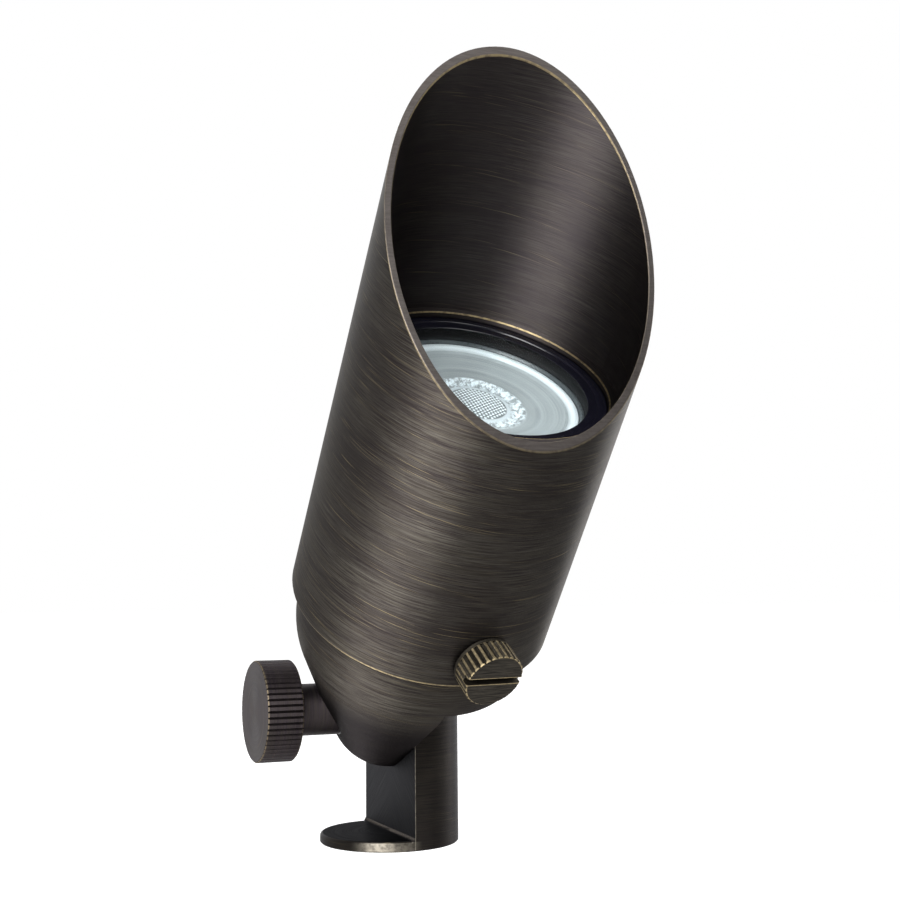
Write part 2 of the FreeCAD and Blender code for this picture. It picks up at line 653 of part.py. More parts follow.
def make_lamp():
    optic = new_body("lamp_optic", HEAD)
    floor = f"({LAMP_FACE} - optic_depth)"
    step = "((lamp_radius - optic_radius) / 3)"
    crown = "((dome_radius ^ 2 + dome_rise ^ 2) / (2 * dome_rise))"
    revolve(optic, "moulding", [
        ("0", SHELL_TOP),
        ("lamp_radius - edge_break", SHELL_TOP),
        ("lamp_radius", f"{SHELL_TOP} + edge_break"),
        ("lamp_radius", f"{LAMP_FACE} - {step}"),
        (f"lamp_radius - {step}", LAMP_FACE),
        (f"optic_radius + {step}", LAMP_FACE),
        ("optic_radius", floor),
        ("dome_radius", floor, crown),
        ("0", f"{floor} + dome_rise"),
    ])
    shell = new_body("lamp_shell", HEAD)
    pocket = "(board_radius + drill_slack)"
    sink = f"({SHELL_TOP} - board_thick - emitter_rise - seat_gap)"
    revolve(shell, "casting", [
        ("0", SHELL_BASE),
        ("shell_neck", SHELL_BASE),
        ("shell_radius", f"{SHELL_TOP} - rim_thick"),
        ("shell_radius", SHELL_TOP),
        (pocket, SHELL_TOP),
        (pocket, sink),
        ("0", sink),
    ])
    slot = outline(shell, "slot_outline", "XY_Plane", [
        ("shell_neck - fin_depth / 2", "-fin_gap / 2"),
        ("2 * shell_radius", "-fin_gap / 2"),
        ("2 * shell_radius", "fin_gap / 2"),
        ("shell_neck - fin_depth / 2", "fin_gap / 2"),
    ], f"{SHELL_BASE} - 1")
    first = cut(shell, "slot", slot, "shell_length - 2 * rim_thick", reversed_way=True)
    ring_pattern(shell, "fins", first, "fin_count")
    board = cylinder("led_board", "board_radius", "board_thick")
    finish_part(board, "led_board", HEAD * moved(0, 0, value(sink)))
    emitter = cone("led_emitter", "emitter_radius", "emitter_radius - emitter_rise", "emitter_rise")
    finish_part(emitter, "led_emitter", HEAD * moved(0, 0, value(f"{sink} + board_thick")))
    base = new_body("lamp_base", HEAD)
    block(base, "block", "base_length", "base_width", "base_round", LAMP_BASE, f"{SHELL_BASE} - {LAMP_BASE}")
    pins = [cylinder(f"pin_{side}", "pin_radius", "pin_length",
                     (f"{sign}pin_pitch / 2", "0", f"{LAMP_BASE} - pin_length"))
            for side, sign in (("left", "-"), ("right", ""))]
    group("lamp_pins", pins, HEAD)


def block(body, name, length, width, corner, level, height):
    """Upright block about the axis with round upright edges."""
    sketch = outline(body, name + "_outline", "XY_Plane", [
        (f"-{length} / 2", f"-{width} / 2"),
        (f"{length} / 2", f"-{width} / 2"),
        (f"{length} / 2", f"{width} / 2"),
        (f"-{length} / 2", f"{width} / 2"),
    ], level)
    extrude(body, name, sketch, height)
    dress(body, name + "_corners", "PartDesign::Fillet", corner,
          lambda edge: abs(edge.tangentAt(edge.FirstParameter).z) > 0.99)


# ---- socket, bracket and fasteners ----

def make_socket():
    body = new_body("lamp_socket", HEAD)
    block(body, "block", "socket_length", "socket_width", "socket_round", SOCKET_BASE, "socket_height")
    sleeve = "contact_radius + contact_slack"
    holes = circles(body, "sleeve_outline", "XY_Plane", [
        ("-pin_pitch / 2", "0", sleeve), ("pin_pitch / 2", "0", sleeve)], LAMP_BASE)
    cut(body, "sleeve_holes", holes, "pin_length + seat_gap")
    screws = circles(body, "screw_outline", "XY_Plane", [
        ("-socket_pitch / 2", "0", "small_screw + drill_slack"),
        ("socket_pitch / 2", "0", "small_screw + drill_slack")], LAMP_BASE)
    cut(body, "screw_holes", screws, "2 * socket_height")
    sinks = circles(body, "sink_outline", "XY_Plane", [
        ("-socket_pitch / 2", "0", "small_head + drill_slack"),
        ("socket_pitch / 2", "0", "small_head + drill_slack")], LAMP_BASE)
    cut(body, "screw_sinks", sinks, "small_head_rise + seat_gap")
    sleeves = []
    for side, sign in (("left", "-"), ("right", "")):
        place = (f"{sign}pin_pitch / 2", "0", f"{LAMP_BASE} - pin_length")
        sleeves.append(subtract(
            f"sleeve_{side}",
            cylinder(f"sleeve_body_{side}", "contact_radius", "pin_length - seat_gap", place),
            cylinder(f"sleeve_bore_{side}", "pin_radius + contact_slack", "2 * pin_length", place)))
    group("socket_contacts", sleeves, HEAD)


def make_bracket():
    body = new_body("socket_bracket", HEAD)
    half = "bracket_span / 2"
    far = f"({half} + bracket_foot)"
    hat = outline(body, "hat_outline", "XZ_Plane", [
        (f"-{far}", "cavity_floor"),
        (f"-{half} + bracket_thick", "cavity_floor"),
        (f"-{half} + bracket_thick", BRACKET_BASE),
        (f"{half} - bracket_thick", BRACKET_BASE),
        (f"{half} - bracket_thick", "cavity_floor"),
        (far, "cavity_floor"),
        (far, "cavity_floor + bracket_thick"),
        (half, "cavity_floor + bracket_thick"),
        (half, SOCKET_BASE),
        (f"-{half}", SOCKET_BASE),
        (f"-{half}", "cavity_floor + bracket_thick"),
        (f"-{far}", "cavity_floor + bracket_thick"),
    ])
    extrude(body, "hat", hat, "bracket_width", both_ways=True)
    opening = circles(body, "opening_outline", "XY_Plane", [("0", "0", "bracket_hole")], SOCKET_BASE)
    cut(body, "lead_opening", opening, "2 * bracket_thick")
    threads = circles(body, "thread_outline", "XY_Plane", [
        ("-socket_pitch / 2", "0", "small_screw + thread_slack"),
        ("socket_pitch / 2", "0", "small_screw + thread_slack")], SOCKET_BASE)
    cut(body, "socket_threads", threads, "2 * bracket_thick")
    holes = circles(body, "foot_outline", "XY_Plane", [
        (f"-{FOOT_SCREW}", "0", "small_screw + drill_slack"),
        (FOOT_SCREW, "0", "small_screw + drill_slack")], "cavity_floor + bracket_thick")
    cut(body, "foot_holes", holes, "2 * bracket_thick")


def pan_screw(name, across, head_seat, length):
    """Pan-head screw pointing down from its seat."""
    return fuse(name,
                cylinder(name + "_shank", "small_screw", length, (across, "0", f"{head_seat} - {length}")),
                cone(name + "_head", "small_head", "small_head - edge_break", "small_head_rise",
                     (across, "0", head_seat)))


def make_small_screws():
    socket_seat = f"({LAMP_BASE} - small_head_rise - seat_gap)"
    socket_reach = "(socket_height - small_head_rise + bracket_thick)"
    group("socket_screws", [
        pan_screw("socket_screw_left", "-socket_pitch / 2", socket_seat, socket_reach),
        pan_screw("socket_screw_right", "socket_pitch / 2", socket_seat, socket_reach)], HEAD)
    floor_seat = "(cavity_floor + bracket_thick)"
    floor_reach = "(bracket_thick + foot_screw_depth - 1)"
    group("bracket_screws", [
        pan_screw("bracket_screw_left", f"-{FOOT_SCREW}", floor_seat, floor_reach),
        pan_screw("bracket_screw_right", FOOT_SCREW, floor_seat, floor_reach)], HEAD)


# ---- the two leads from the socket into the knuckle's wire passage ----

def lead_path(start_across, end_across):
    """Straight down, a slant, and straight down again, with tangent arcs at both bends."""
    top = value(SOCKET_BASE)
    low = value("lead_end")
    room = value("bend_share") * (top - value("cavity_floor"))
    upper_bend = FreeCAD.Vector(start_across, 0, top - room)
    lower_bend = FreeCAD.Vector(end_across, 0, value("cavity_floor + grommet_rise") + room)
    points = [FreeCAD.Vector(start_across, 0, top), upper_bend, lower_bend, FreeCAD.Vector(end_across, 0, low)]
    edges = []
    here = points[0]
    for before, corner, after in zip(points, points[1:], points[2:]):
        inward = (corner - before).normalize()
        onward = (after - corner).normalize()
        turn = inward.getAngle(onward)
        reach = 0.45 * min((corner - before).Length, (after - corner).Length)
        start = corner - inward * reach
        end = corner + onward * reach
        bisector = (onward - inward).normalize()
        radius = reach / math.tan(turn / 2)
        middle = corner + bisector * (radius / math.cos(turn / 2) - radius)
        edges.append(Part.LineSegment(here, start).toShape())
        edges.append(Part.Arc(start, middle, end).toShape())
        here = end
        print(f"lead bend radius {radius:.2f} mm")
    edges.append(Part.LineSegment(here, points[-1]).toShape())
    return Part.Wire(edges)


def make_leads():
    leads = []
    for side, sign in (("left", -1), ("right", 1)):
        path = lead_path(sign * value("pin_pitch") / 2, -value("lead_offset") + sign * value("lead_spacing"))
        ring = Part.Wire(Part.makeCircle(value("lead_radius"), path.Vertexes[0].Point, FreeCAD.Vector(0, 0, -1)))
        lead = doc.addObject("Part::Feature", f"lead_{side}")
        lead.Shape = path.makePipeShell([ring], True, False)
        expected = math.pi * value("lead_radius") ** 2 * path.Length
        if abs(lead.Shape.Volume / expected - 1) > 0.01:
            raise RuntimeError(f"lead_{side}: swept volume is wrong")
        leads.append(lead)
    group("socket_leads", leads, HEAD)
    grommet = new_body("lead_grommet", HEAD)
    inner = "grommet_bore"
    outer = "(grommet_radius - groove_slack)"
    revolve(grommet, "moulding", [
        (inner, "cavity_floor - grommet_depth"),
        (outer, "cavity_floor - grommet_depth"),
        (outer, "cavity_floor + grommet_rise - edge_break"),
        (f"{outer} - edge_break", "cavity_floor + grommet_rise"),
        (inner, "cavity_floor + grommet_rise"),
    ])
    grommet.Placement = HEAD * moved(-value("lead_offset"), 0, 0)


def export_parts():
    doc.recompute()
    for item in doc.Objects:
        if "Invalid" in item.State or "Error" in item.State:
            raise RuntimeError(f"{item.Label}: {item.State}")
    os.makedirs("parts", exist_ok=True)
    for part in PARTS:
        shape = part.Shape
        if shape.isNull() or not shape.isValid():
            raise RuntimeError(f"{part.Label}: bad shape")
        shape.exportStep(f"parts/{part.Label}.step")
        box = shape.BoundBox
        print(f"{part.Label:20s} solids {len(shape.Solids)}  volume {shape.Volume:10.1f}  "
              f"z {box.ZMin:7.2f} to {box.ZMax:7.2f}")


make_base()
make_knob()
make_knuckle_trim()
make_housing()
make_housing_seals()
make_shroud()
make_shroud_screw()
make_lens()
make_lamp()
make_socket()
make_bracket()
make_small_screws()
make_leads()
export_parts()
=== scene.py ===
import math

import bmesh
import bpy
from mathutils import Matrix, Vector


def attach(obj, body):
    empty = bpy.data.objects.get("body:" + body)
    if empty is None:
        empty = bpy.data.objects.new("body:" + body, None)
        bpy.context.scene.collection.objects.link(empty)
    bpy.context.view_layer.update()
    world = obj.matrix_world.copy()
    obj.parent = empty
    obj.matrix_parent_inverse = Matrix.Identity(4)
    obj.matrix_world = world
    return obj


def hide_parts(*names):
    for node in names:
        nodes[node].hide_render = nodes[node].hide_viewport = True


# Bronze bullet spotlight with a slanted shroud, on a half-lap knuckle.
# The head has a frame of its own: Z along the lamp's axis, origin in the knuckle's pivot.
# Places and sizes are in metres, and the profiles of turned pieces in millimetres.

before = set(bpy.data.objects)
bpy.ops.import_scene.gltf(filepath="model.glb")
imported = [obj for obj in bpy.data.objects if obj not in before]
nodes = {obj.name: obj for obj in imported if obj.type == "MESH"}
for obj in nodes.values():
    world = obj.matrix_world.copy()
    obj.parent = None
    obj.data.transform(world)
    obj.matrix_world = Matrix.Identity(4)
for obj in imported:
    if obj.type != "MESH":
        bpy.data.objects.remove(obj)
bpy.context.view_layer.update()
print("frame loaded:", len(nodes), "nodes")

head = {
    "pivotHeight": 0.0367,
    "tilt": math.radians(38.5),
    "shroudTurn": math.radians(5.0),  # the lock screw, from the front towards +X
    "mouthTurn": math.radians(1.5),   # the low side of the mouth
    "mouthHeight": 0.1421,            # where the mouth's plane crosses the axis
    "mouthCosine": 0.7071,            # the plane stands at 45 degrees to the axis
    "screwHeight": 0.0463,
    "slotTurn": math.radians(-3.4),
}
quarterTurn = math.radians(90)
pivotPlace = Matrix.Translation((0, 0, head["pivotHeight"]))
headPlace = pivotPlace @ Matrix.Rotation(head["tilt"], 4, "X")
mouthPlace = headPlace @ Matrix.Rotation(head["mouthTurn"], 4, "Z")
knobPlace = pivotPlace @ Matrix.Rotation(-quarterTurn, 4, "Y")
screwPlace = (
    headPlace @ Matrix.Rotation(head["shroudTurn"], 4, "Z") @ Matrix.Translation((0, 0, head["screwHeight"]))
    @ Matrix.Rotation(quarterTurn, 4, "X") @ Matrix.Rotation(head["slotTurn"], 4, "Z"))
footPlace = Matrix.Identity(4)


# Small helpers for material nodes.

def newMaterial(name, settings):
    material = bpy.data.materials.new(name)
    material.use_nodes = True
    shader = material.node_tree.nodes["Principled BSDF"]
    for socket, setting in settings.items():
        shader.inputs[socket].default_value = setting
    return material, material.node_tree, shader


def plug(tree, source, socket):
    if isinstance(source, bpy.types.NodeSocket):
        tree.links.new(source, socket)
    elif socket.type == "RGBA":
        socket.default_value = (*source, 1.0)
    else:
        socket.default_value = source


def addNode(tree, kind, inputs, **settings):
    node = tree.nodes.new(kind)
    for key, setting in settings.items():
        setattr(node, key, setting)
    for key, source in inputs.items():
        plug(tree, source, node.inputs[key])
    return node


def maths(tree, operation, first, second=0.0):
    return addNode(tree, "ShaderNodeMath", {0: first, 1: second}, operation=operation).outputs[0]


def add(tree, first, second):
    return maths(tree, "ADD", first, second)


# On masks, times is where both are, and larger is where either is.
def times(tree, first, second):
    return maths(tree, "MULTIPLY", first, second)


def larger(tree, first, second):
    return maths(tree, "MAXIMUM", first, second)


def vectorMaths(tree, operation, first, second):
    return addNode(tree, "ShaderNodeVectorMath", {0: first, 1: second}, operation=operation)


def joined(tree, x, y=0.0, z=0.0):
    return addNode(tree, "ShaderNodeCombineXYZ", {"X": x, "Y": y, "Z": z}).outputs[0]


# From low at start to high at end, softly.
def fade(tree, amount, start, end, low=0.0, high=1.0):
    node = addNode(tree, "ShaderNodeMapRange", {
        "Value": amount, "From Min": start, "From Max": end, "To Min": low, "To Max": high},
        interpolation_type="SMOOTHSTEP")
    return node.outputs["Result"]


# 1 within half of the middle, and softly to 0 beyond it.
def band(tree, amount, middle, half, soft):
    distance = maths(tree, "ABSOLUTE", maths(tree, "SUBTRACT", amount, middle))
    return fade(tree, distance, half, half + soft, 1.0, 0.0)


def mixColour(tree, amount, first, second):
    return addNode(tree, "ShaderNodeMix", {"Factor": amount, 6: first, 7: second}, data_type="RGBA").outputs[2]


# In the looks, a grain is (scale, detail, roughness).
def grain(tree, vector, scale, detail=2.0, roughness=0.5):
    return addNode(tree, "ShaderNodeTexNoise", {
        "Vector": vector, "Scale": scale, "Detail": detail, "Roughness": roughness}).outputs["Fac"]


def addBump(tree, shader, strength, distance, height):
    bump = addNode(tree, "ShaderNodeBump", {"Strength": strength, "Distance": distance, "Height": height})
    plug(tree, bump.outputs[0], shader.inputs["Normal"])


# The piece's own frame in a material: its x, y and z, and the radius about z.
def pieceFrame(tree, place):
    back = place.inverted()
    coords = addNode(tree, "ShaderNodeTexCoord", {}).outputs["Object"]
    turned = addNode(tree, "ShaderNodeMapping", {
        "Vector": coords, "Location": back.to_translation(), "Rotation": back.to_euler()}).outputs[0]
    x, y, z = addNode(tree, "ShaderNodeSeparateXYZ", {"Vector": turned}).outputs
    radius = maths(tree, "SQRT", add(tree, times(tree, x, x), times(tree, y, y)))
    return turned, x, y, z, radius


# Plain finishes: a colour with a little cloud and grain in it.
plainLooks = {
    "sealRubber": {"low": (0.012, 0.012, 0.013), "high": (0.026, 0.026, 0.028), "rough": 0.55},
    "gasketRubber": {"low": (0.006, 0.006, 0.008), "high": (0.014, 0.014, 0.018), "rough": 0.3, "relief": 0.1},
    "lampWhite": {"low": (0.70, 0.71, 0.72), "high": (0.80, 0.81, 0.82), "rough": 0.45},
    "boardWhite": {"low": (0.76, 0.77, 0.76), "high": (0.86, 0.86, 0.85), "rough": 0.4},
    "phosphor": {"low": (0.80, 0.66, 0.16), "high": (0.90, 0.78, 0.26), "rough": 0.4},
    "contactBrass": {"low": (0.60, 0.46, 0.22), "high": (0.76, 0.60, 0.32), "rough": 0.3, "metallic": 1.0},
    "ceramic": {"low": (0.78, 0.75, 0.69), "high": (0.88, 0.86, 0.80), "rough": 0.35},
    "screwSteel": {"low": (0.46, 0.46, 0.46), "high": (0.62, 0.62, 0.63), "rough": 0.35, "metallic": 1.0},
    "leadJacket": {"low": (0.03, 0.03, 0.03), "high": (0.06, 0.06, 0.06), "rough": 0.5},
}
# What a plain finish has where its own look doesn't say.
plainBase = {
    "metallic": 0.0, "relief": 0.2, "bumpHeight": 0.00003, "roughSpread": 0.06,
    "cloud": (90.0, 4.0, 0.6), "speckScale": 1600.0, "speck": (3.0, 0.6), "speckFade": (0.25, 0.75),
}


def plainFinish(name, own):
    look = dict(plainBase, **own)
    material, tree, shader = newMaterial(name, {"Metallic": look["metallic"]})
    coords = addNode(tree, "ShaderNodeTexCoord", {}).outputs["Object"]
    cloud = grain(tree, coords, *look["cloud"])
    speck = grain(tree, coords, look["speckScale"], *look["speck"])
    plug(tree, mixColour(tree, cloud, look["low"], look["high"]), shader.inputs["Base Color"])
    smooth, rough = look["rough"] - look["roughSpread"], look["rough"] + look["roughSpread"]
    plug(tree, fade(tree, speck, *look["speckFade"], smooth, rough), shader.inputs["Roughness"])
    addBump(tree, shader, look["relief"], look["bumpHeight"], speck)
    return material


finishes = {name: plainFinish(name, look) for name, look in plainLooks.items()}


# The bronze of all the turned metal pieces: brushed brass under a dark patina.
# Marks are (stretch round the piece, fineness along it, detail, roughness), and fades (start, end, low, high).
bronzeLook = {
    "dark": (0.028, 0.0225, 0.0228), "light": (0.114, 0.104, 0.089), "warm": (0.068, 0.060, 0.045),
    "brass": (0.27, 0.22, 0.13), "wornAndHighlight": (0.50, 0.40, 0.23), "sheen": (0.9, 0.9, 0.9),
    "metallic": 0.97, "stretch": 0.93, "smooth": 0.46, "rough": 0.62, "roughFade": (0.2, 0.8),
    "bands": (9.0, 190.0, 3.0, 0.6), "bandFade": (0.35, 0.72, 0.0, 0.5),
    "medium": (52.0, 2600.0, 3.0, 0.65), "mediumFade": (0.38, 0.66, 0.0, 0.5),
    "fine": (90.0, 4400.0, 3.0, 0.7), "fineFade": (0.36, 0.64),
    "hair": (52.0, 4400.0, 2.0, 0.6), "hairSkew": 0.06, "hairFade": (0.60, 0.70), "hairBands": (0.40, 0.62),
    "flecks": 0.6, "faceShare": 0.83,  # how much the marks follow the radius, on faces across the axis
    "cloud": (36.0, 4.0, 0.6), "cloudFade": (0.38, 0.72, 0.0, 0.45),
    "milledMarks": (160.0, 3000.0), "milledGrain": (1.0, 3.0, 0.6), "milledFade": (0.3, 0.7),
    "wearGrain": (900.0, 3.0), "wearFade": (0.30, 0.60, 0.45, 1.0),
    "relief": 1.0, "bumpHeight": 0.00004, "axisShare": 0.02, "milledTangent": (0.3, 0.2, 1.0),
}


# Lathe marks: fine along the axis and the radius, long round the piece.
def latheMarks(tree, x, y, z, radius, look, marks):
    stretch, fineness, detail, roughness = look[marks]
    across = times(tree, add(tree, z, times(tree, radius, look["faceShare"])), fineness)
    way = joined(tree, times(tree, x, stretch), times(tree, y, stretch), across)
    return grain(tree, way, 1.0, detail, roughness)


# Across the lathe marks on the surface, so that highlights spread along the axis.
def markTangent(tree, place, look, x, y, milledShare):
    around = addNode(tree, "ShaderNodeVectorMath", {0: joined(tree, times(tree, y, -1.0), x)}, operation="NORMALIZE")
    placed = addNode(tree, "ShaderNodeMapping", {
        "Vector": around.outputs[0], "Rotation": place.to_euler()}, vector_type="VECTOR").outputs[0]
    world = addNode(tree, "ShaderNodeVectorTransform", {"Vector": placed}, vector_type="VECTOR",
                    convert_from="OBJECT", convert_to="WORLD").outputs[0]
    normal = addNode(tree, "ShaderNodeNewGeometry", {}).outputs["Normal"]
    across = vectorMaths(tree, "CROSS_PRODUCT", normal, world).outputs[0]
    axis = place.to_3x3() @ Vector((0.0, 0.0, look["axisShare"]))
    steady = vectorMaths(tree, "ADD", across, axis).outputs[0]
    return addNode(tree, "ShaderNodeMix", {
        "Factor": milledShare, 4: steady, 5: look["milledTangent"]}, data_type="VECTOR").outputs[1]


# One piece's bronze. It may have three masks, each worked out from (tree, x, y, z, radius): edges, where it is rubbed
# to brass or carries a painted highlight, milled, where flat faces have straight marks, and toned, where a second
# tone covers the lathe marks; on the housing that second tone is painted shade.
def bronze(name, place, look, edges=None, milled=None, toned=None):
    material, tree, shader = newMaterial(name, {
        "Metallic": look["metallic"], "Anisotropic": look["stretch"], "Specular Tint": (*look["sheen"], 1.0)})
    turned, x, y, z, radius = pieceFrame(tree, place)
    relief = 1.0
    milledShare = 0.0
    softer = 0.0
    if milled:
        milledShare = milled(tree, x, y, z, radius)
        relief = maths(tree, "SUBTRACT", 1.0, milledShare)
    bands, medium, fine = (latheMarks(tree, x, y, z, radius, look, marks) for marks in ("bands", "medium", "fine"))
    skewed = add(tree, z, times(tree, x, look["hairSkew"]))
    hair = latheMarks(tree, x, y, skewed, radius, look, "hair")
    cloud = grain(tree, turned, *look["cloud"])
    patina = mixColour(tree, fade(tree, fine, *look["fineFade"]), look["dark"], look["light"])
    patina = mixColour(tree, fade(tree, medium, *look["mediumFade"]), patina, look["warm"])
    patina = mixColour(tree, fade(tree, bands, *look["bandFade"]), patina, look["dark"])
    patina = mixColour(tree, fade(tree, cloud, *look["cloudFade"]), patina, look["dark"])
    scratch = times(tree, fade(tree, hair, *look["hairFade"]), fade(tree, bands, *look["hairBands"]))
    patina = mixColour(tree, times(tree, scratch, look["flecks"]), patina, look["brass"])
    if toned:
        tonedShare = toned(tree, x, y, z, radius)
        patina = mixColour(tree, tonedShare, patina, mixColour(tree, cloud, look["toneLow"], look["toneHigh"]))
        relief = times(tree, relief, maths(tree, "SUBTRACT", 1.0, tonedShare))
        softer = times(tree, tonedShare, look["toneSoft"])
    if milled:
        alongX, alongY = look["milledMarks"]
        straight = grain(tree, joined(tree, times(tree, x, alongX), times(tree, y, alongY), z), *look["milledGrain"])
        flat = mixColour(tree, fade(tree, straight, *look["milledFade"]), look["milledLow"], look["milledHigh"])
        patina = mixColour(tree, milledShare, patina, flat)
    if edges:
        wear = fade(tree, grain(tree, turned, *look["wearGrain"]), *look["wearFade"])
        patina = mixColour(tree, times(tree, edges(tree, x, y, z, radius), wear), patina, look["wornAndHighlight"])
    plug(tree, patina, shader.inputs["Base Color"])
    rough = fade(tree, fine, *look["roughFade"], look["smooth"], look["rough"])
    plug(tree, add(tree, rough, softer), shader.inputs["Roughness"])
    addBump(tree, shader, look["relief"], look["bumpHeight"], times(tree, add(tree, fine, medium), relief))
    plug(tree, markTangent(tree, place, look, x, y, milledShare), shader.inputs["Tangent"])
    return material


# In the looks below, a band is (middle, half width, softness), and a fade (start, end) or (start, end, low, high).

# The shroud, in the frame of its mouth: the cut rim, its two edges and the low end, worn to brass with a painted
# highlight where they catch the light, the ledge and the bore.
shroudLook = dict(
    bronzeLook, milledLow=(0.105, 0.092, 0.086), milledHigh=(0.135, 0.120, 0.112),
    toneLow=(0.043, 0.037, 0.041), toneHigh=(0.068, 0.060, 0.066), toneSoft=0.16,
    rimBand=(0.0, 0.00012, 0.00006),
    innerBand=(-0.0001, 0.00016, 0.0001), innerFade=(0.03318, 0.03330), innerWearAndHighlight=(0.0, 0.03, 0.15, 0.9),
    outerBand=(-0.0001, 0.00018, 0.0001), outerFade=(0.03458, 0.03466), outerWearAndHighlight=(-0.012, 0.006, 0.32, 0.08),
    lowBand=(0.0380, 0.0004, 0.0005), lowWearAndHighlight=(-0.033, -0.008, 1.0, 0.2),
    ledgeBand=(0.1083, 0.0003, 0.0001), ledgeRadius=(0.0307, 0.00022, 0.00015),
    boreFade=(0.03320, 0.03330, 0.5, 0.0),
)


# The distance from the mouth's plane.
def mouthPlane(tree, y, z):
    level = maths(tree, "SUBTRACT", maths(tree, "SUBTRACT", z, head["mouthHeight"]), y)
    return times(tree, level, head["mouthCosine"])


def shroudRim(tree, x, y, z, radius):
    return band(tree, mouthPlane(tree, y, z), *shroudLook["rimBand"])


def shroudEdges(tree, x, y, z, radius):
    plane = mouthPlane(tree, y, z)
    # The edges are worn to brass; how bright they are on each side of the mouth is a painted highlight.
    innerWearAndHighlight = fade(tree, y, *shroudLook["innerWearAndHighlight"])
    outerWearAndHighlight = fade(tree, y, *shroudLook["outerWearAndHighlight"])
    innerEdge = times(tree, band(tree, plane, *shroudLook["innerBand"]),
                      fade(tree, radius, *shroudLook["innerFade"], innerWearAndHighlight, 0.0))
    outerEdge = times(tree, band(tree, plane, *shroudLook["outerBand"]),
                      fade(tree, radius, *shroudLook["outerFade"], 0.0, outerWearAndHighlight))
    lowEdge = times(tree, band(tree, z, *shroudLook["lowBand"]), fade(tree, y, *shroudLook["lowWearAndHighlight"]))
    ledgeEdge = times(tree, band(tree, z, *shroudLook["ledgeBand"]), band(tree, radius, *shroudLook["ledgeRadius"]))
    total = add(tree, innerEdge, outerEdge)
    return maths(tree, "MINIMUM", add(tree, add(tree, total, lowEdge), ledgeEdge), 1.0)


def shroudBore(tree, x, y, z, radius):
    return fade(tree, radius, *shroudLook["boreFade"])


finishes["shroudBronze"] = bronze("shroudBronze", mouthPlace, shroudLook, shroudEdges, shroudRim, shroudBore)


# The housing. Its lug and the bottom of its bowl are darker: painted shade, in a second tone.
housingLook = dict(
    bronzeLook, toneLow=(0.013, 0.011, 0.0125), toneHigh=(0.021, 0.018, 0.020), toneSoft=0.0,
    lugShadeFade=(0.009, 0.024, 0.85, 0.0))


def housingLugShade(tree, x, y, z, radius):
    return fade(tree, z, *housingLook["lugShadeFade"])


finishes["housingBronze"] = bronze("housingBronze", headPlace, housingLook, toned=housingLugShade)


# The foot, a half column on a round flange: the lap's edge, a painted highlight on the flange's rim, the lap's face
# and the flange's top.
# The column's top is rounded about the pivot, so it has a second tone and no marks about the foot's axis.
footLook = dict(
    bronzeLook, dark=(0.024, 0.021, 0.0205), light=(0.050, 0.043, 0.038), wornAndHighlight=(0.55, 0.50, 0.41),
    sheen=(0.72, 0.72, 0.74), flecks=0.2,
    milledLow=(0.006, 0.006, 0.0065), milledHigh=(0.010, 0.010, 0.0105),
    toneLow=(0.028, 0.0245, 0.0235), toneHigh=(0.042, 0.037, 0.034), toneSoft=0.0,
    lapBand=(0.0001, 0.00008, 0.0001), lapRadius=(0.01905, 0.01912), lapWear=(-0.006, -0.004, 0.7, 0.0),
    flangeHighlightWay=(-0.40, -0.917), flangeHighlightFade=(0.86, 0.995, 0.0, 0.5),  # the side of the flange towards the camera, where a painted highlight lies
    flangeHighlightRadius=(0.0188, 0.0190), flangeHighlightHeight=(0.0024, 0.0027, 1.0, 0.0),
    faceBand=(0.0001, 0.00003, 0.00003), faceHeight=(0.0030, 0.0034),
    flangeBand=(0.0027, 0.00006, 0.00006), flangeSide=(0.0002, 0.0004, 1.0, 0.0),
    topFade=(0.0385, 0.0415, 0.0, 0.9),
)


# The lap's worn edge, and a painted highlight on the side of the flange towards the camera.
def footWearAndHighlight(tree, x, y, z, radius):
    lap = times(tree, band(tree, x, *footLook["lapBand"]), fade(tree, radius, *footLook["lapRadius"]))
    alongX, alongY = footLook["flangeHighlightWay"]
    facing = maths(tree, "DIVIDE", add(tree, times(tree, x, alongX), times(tree, y, alongY)), radius)
    paintedHighlight = times(tree, fade(tree, facing, *footLook["flangeHighlightFade"]), fade(tree, radius, *footLook["flangeHighlightRadius"]))
    flange = times(tree, paintedHighlight, fade(tree, z, *footLook["flangeHighlightHeight"]))
    return larger(tree, times(tree, lap, fade(tree, y, *footLook["lapWear"])), flange)


# The lap's flat face, and the flat top of the flange.
def footFaces(tree, x, y, z, radius):
    face = times(tree, band(tree, x, *footLook["faceBand"]), fade(tree, z, *footLook["faceHeight"]))
    flange = times(tree, band(tree, z, *footLook["flangeBand"]), fade(tree, x, *footLook["flangeSide"]))
    return larger(tree, face, flange)


def footTop(tree, x, y, z, radius):
    return fade(tree, z, *footLook["topFade"])


finishes["footBronze"] = bronze("footBronze", footPlace, footLook, footWearAndHighlight, footFaces, footTop)


# The knob, along the pivot: rubbed where the knurl ends at its two faces.
knobLook = dict(
    bronzeLook, dark=(0.036, 0.029, 0.034), light=(0.070, 0.058, 0.062), flecks=0.15, stretch=0.4, relief=0.2,
    outerBand=(0.0386, 0.0001, 0.0002), innerBand=(0.0290, 0.0001, 0.0002),
    knurlRadius=(0.01325, 0.01335), edgeShare=0.35,
)


def knobEdges(tree, x, y, z, radius):
    ends = larger(tree, band(tree, z, *knobLook["outerBand"]), band(tree, z, *knobLook["innerBand"]))
    return times(tree, times(tree, ends, fade(tree, radius, *knobLook["knurlRadius"])), knobLook["edgeShare"])


finishes["knobBronze"] = bronze("knobBronze", knobPlace, knobLook, knobEdges)


